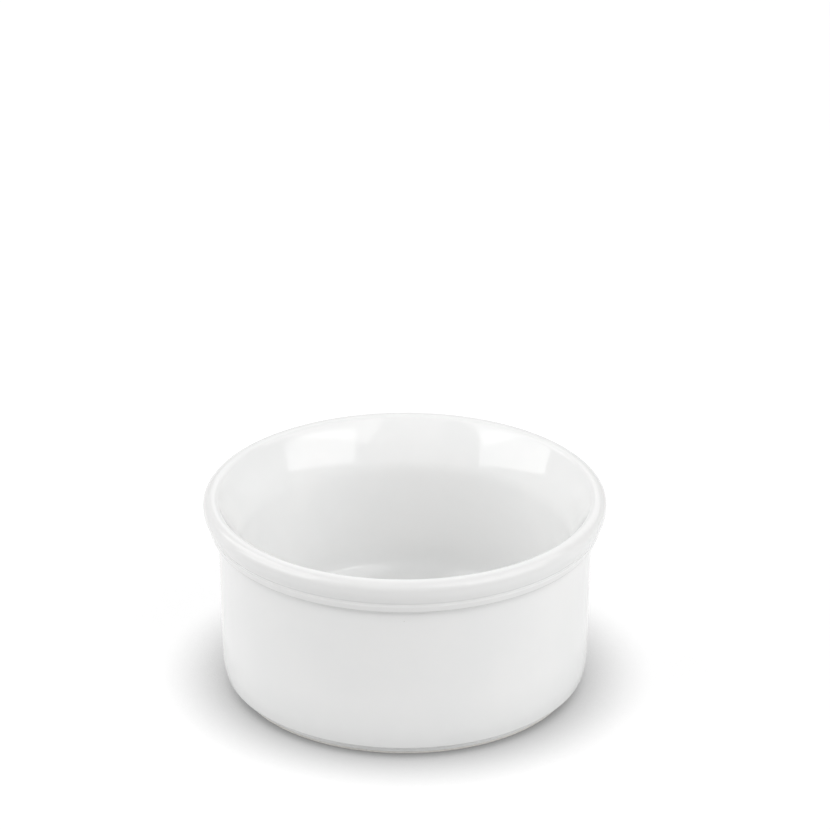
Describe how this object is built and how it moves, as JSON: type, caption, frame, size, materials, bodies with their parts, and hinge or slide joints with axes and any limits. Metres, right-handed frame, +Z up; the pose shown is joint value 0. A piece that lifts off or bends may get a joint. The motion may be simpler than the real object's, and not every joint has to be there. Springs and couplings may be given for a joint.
{
  "type": "ramekin",
  "caption": "Round straight-sided white porcelain ramekin with a flared rounded lip, a thin collar bead under it and a recessed foot ring.",
  "frame": {"origin": "on the table, under the middle of the base", "axes": "+Z up along the turning axis of the dish, +X and +Y level"},
  "size_m": [0.09, 0.09, 0.045],
  "materials": {
    "porcelain": "unglazed fine matt biscuit, wiped clean at the foot ring",
    "glaze": "clear glassy glaze over white porcelain, high gloss"
  },
  "bodies": {
    "root": {"porcelain_body": "porcelain", "glaze_coat": "glaze", "glaze_underside": "glaze"}
  },
  "joints": []
}
